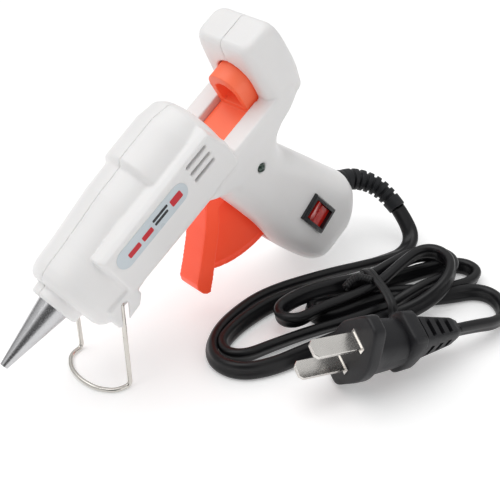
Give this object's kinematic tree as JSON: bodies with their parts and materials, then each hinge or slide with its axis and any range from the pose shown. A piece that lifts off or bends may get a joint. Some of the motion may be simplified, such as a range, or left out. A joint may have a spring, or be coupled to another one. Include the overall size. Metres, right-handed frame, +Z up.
{
  "type": "glue gun",
  "caption": "Small hot-glue gun with trigger feed, wire stand, rocker switch and a bundled mains cord with a flat-blade plug.",
  "frame": {"origin": "centre of the gun's box on the surface it stands on, cord left out", "axes": "+X from the nozzle towards the back of the gun, +Y to the gun's right, +Z up; the gun stands nose down on its wire foot and its handle butt"},
  "size_m": [0.171, 0.099, 0.1049],
  "materials": {
    "shell_white": "satin moulded ABS",
    "trigger_orange": "semi-gloss moulded nylon",
    "carriage_orange": "satin moulded nylon",
    "nozzle_aluminium": "turned and polished",
    "chamber_aluminium": "as cast",
    "heater_film": "amber film over a ceramic plate",
    "spring_steel": "bright spring steel",
    "silicone": "translucent white silicone",
    "nickel_wire": "nickel-plated wire",
    "pin_steel": "plain steel",
    "screw_steel": "zinc-plated",
    "inlet_white": "satin moulded plastic",
    "switch_black": "gloss moulded plastic",
    "rocker_red": "translucent red plastic",
    "terminal_brass": "tinned brass",
    "lamp_green": "dark green lens",
    "label_grey": "printed film",
    "wire_insulation": "fibre-sleeved leads",
    "cord_black": "satin PVC",
    "relief_black": "soft black PVC",
    "tie_black": "plastic-coated wire",
    "plug_black": "moulded black PVC",
    "blade_nickel": "nickel-plated brass"
  },
  "bodies": {
    "housing": {"housing_left": "shell_white", "housing_right": "shell_white", "nozzle": "nozzle_aluminium", "melt_chamber": "chamber_aluminium", "heater_plate": "heater_film", "heater_clip": "spring_steel", "inlet_sleeve": "silicone", "sleeve_clip": "spring_steel", "stick_inlet": "inlet_white", "trigger_pin": "pin_steel", "return_spring": "spring_steel", "switch_body": "switch_black", "switch_terminals": "terminal_brass", "indicator_lamp": "lamp_green", "label_plate": "label_grey", "housing_screws": "screw_steel", "lead_wires": "wire_insulation", "strain_relief": "relief_black", "cord": "cord_black", "twist_tie": "tie_black", "plug_body": "plug_black", "plug_blades": "blade_nickel"},
    "feed_carriage": {"feed_carriage": "carriage_orange", "stick_grip": "spring_steel"},
    "trigger": {"trigger": "trigger_orange", "drive_pin": "pin_steel"},
    "wire_stand": {"wire_stand": "nickel_wire"},
    "switch_rocker": {"switch_rocker": "rocker_red"}
  },
  "joints": [
    {"name": "trigger_squeeze", "type": "hinge", "parent": "housing", "child": "trigger", "pos_m": [0.01588, 0, 0.05319], "axis": [0, -1, 0], "range_deg": [0, 25], "stiffness_Nm_per_rad": 0.15, "springref_deg": -14.32, "deforming": ["return_spring"]},
    {"name": "carriage_feed", "type": "slide", "parent": "housing", "child": "feed_carriage", "axis": [-0.8475, 0, -0.5308], "range_m": [0, 0.0047]},
    {"name": "stand_fold", "type": "hinge", "parent": "housing", "child": "wire_stand", "pos_m": [-0.04012, 0, 0.03428], "axis": [0, -1, 0], "range_deg": [0, 75]},
    {"name": "rocker_flip", "type": "hinge", "parent": "housing", "child": "switch_rocker", "pos_m": [0.04852, -0.0125, 0.02821], "axis": [0.7222, 0, 0.6916], "range_deg": [-18, 0]}
  ],
  "couplings": [
    {"joint": "carriage_feed", "follows": "trigger_squeeze", "m_per_rad": 0.010715}
  ]
}
